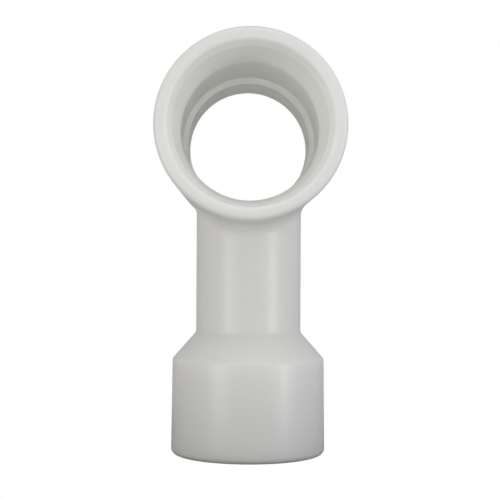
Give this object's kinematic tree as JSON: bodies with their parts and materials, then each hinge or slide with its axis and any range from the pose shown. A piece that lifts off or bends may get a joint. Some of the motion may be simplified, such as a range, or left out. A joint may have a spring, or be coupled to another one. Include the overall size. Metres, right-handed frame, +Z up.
{
  "type": "pipe tee",
  "caption": "Moulded white plastic pipe tee: a short run tube with a stepped through bore, and a narrower neck that drops from its middle to a wider bell socket.",
  "frame": {"origin": "centre of the bell's mouth, at the foot of the branch", "axes": "+Z up the branch towards the run tube, Y along the run tube with its front mouth facing -Y, X across"},
  "size_m": [0.06, 0.093, 0.138],
  "materials": {
    "body": "milky white, satin gloss, slightly translucent"
  },
  "bodies": {
    "root": {"tee_body": "body"}
  },
  "joints": []
}
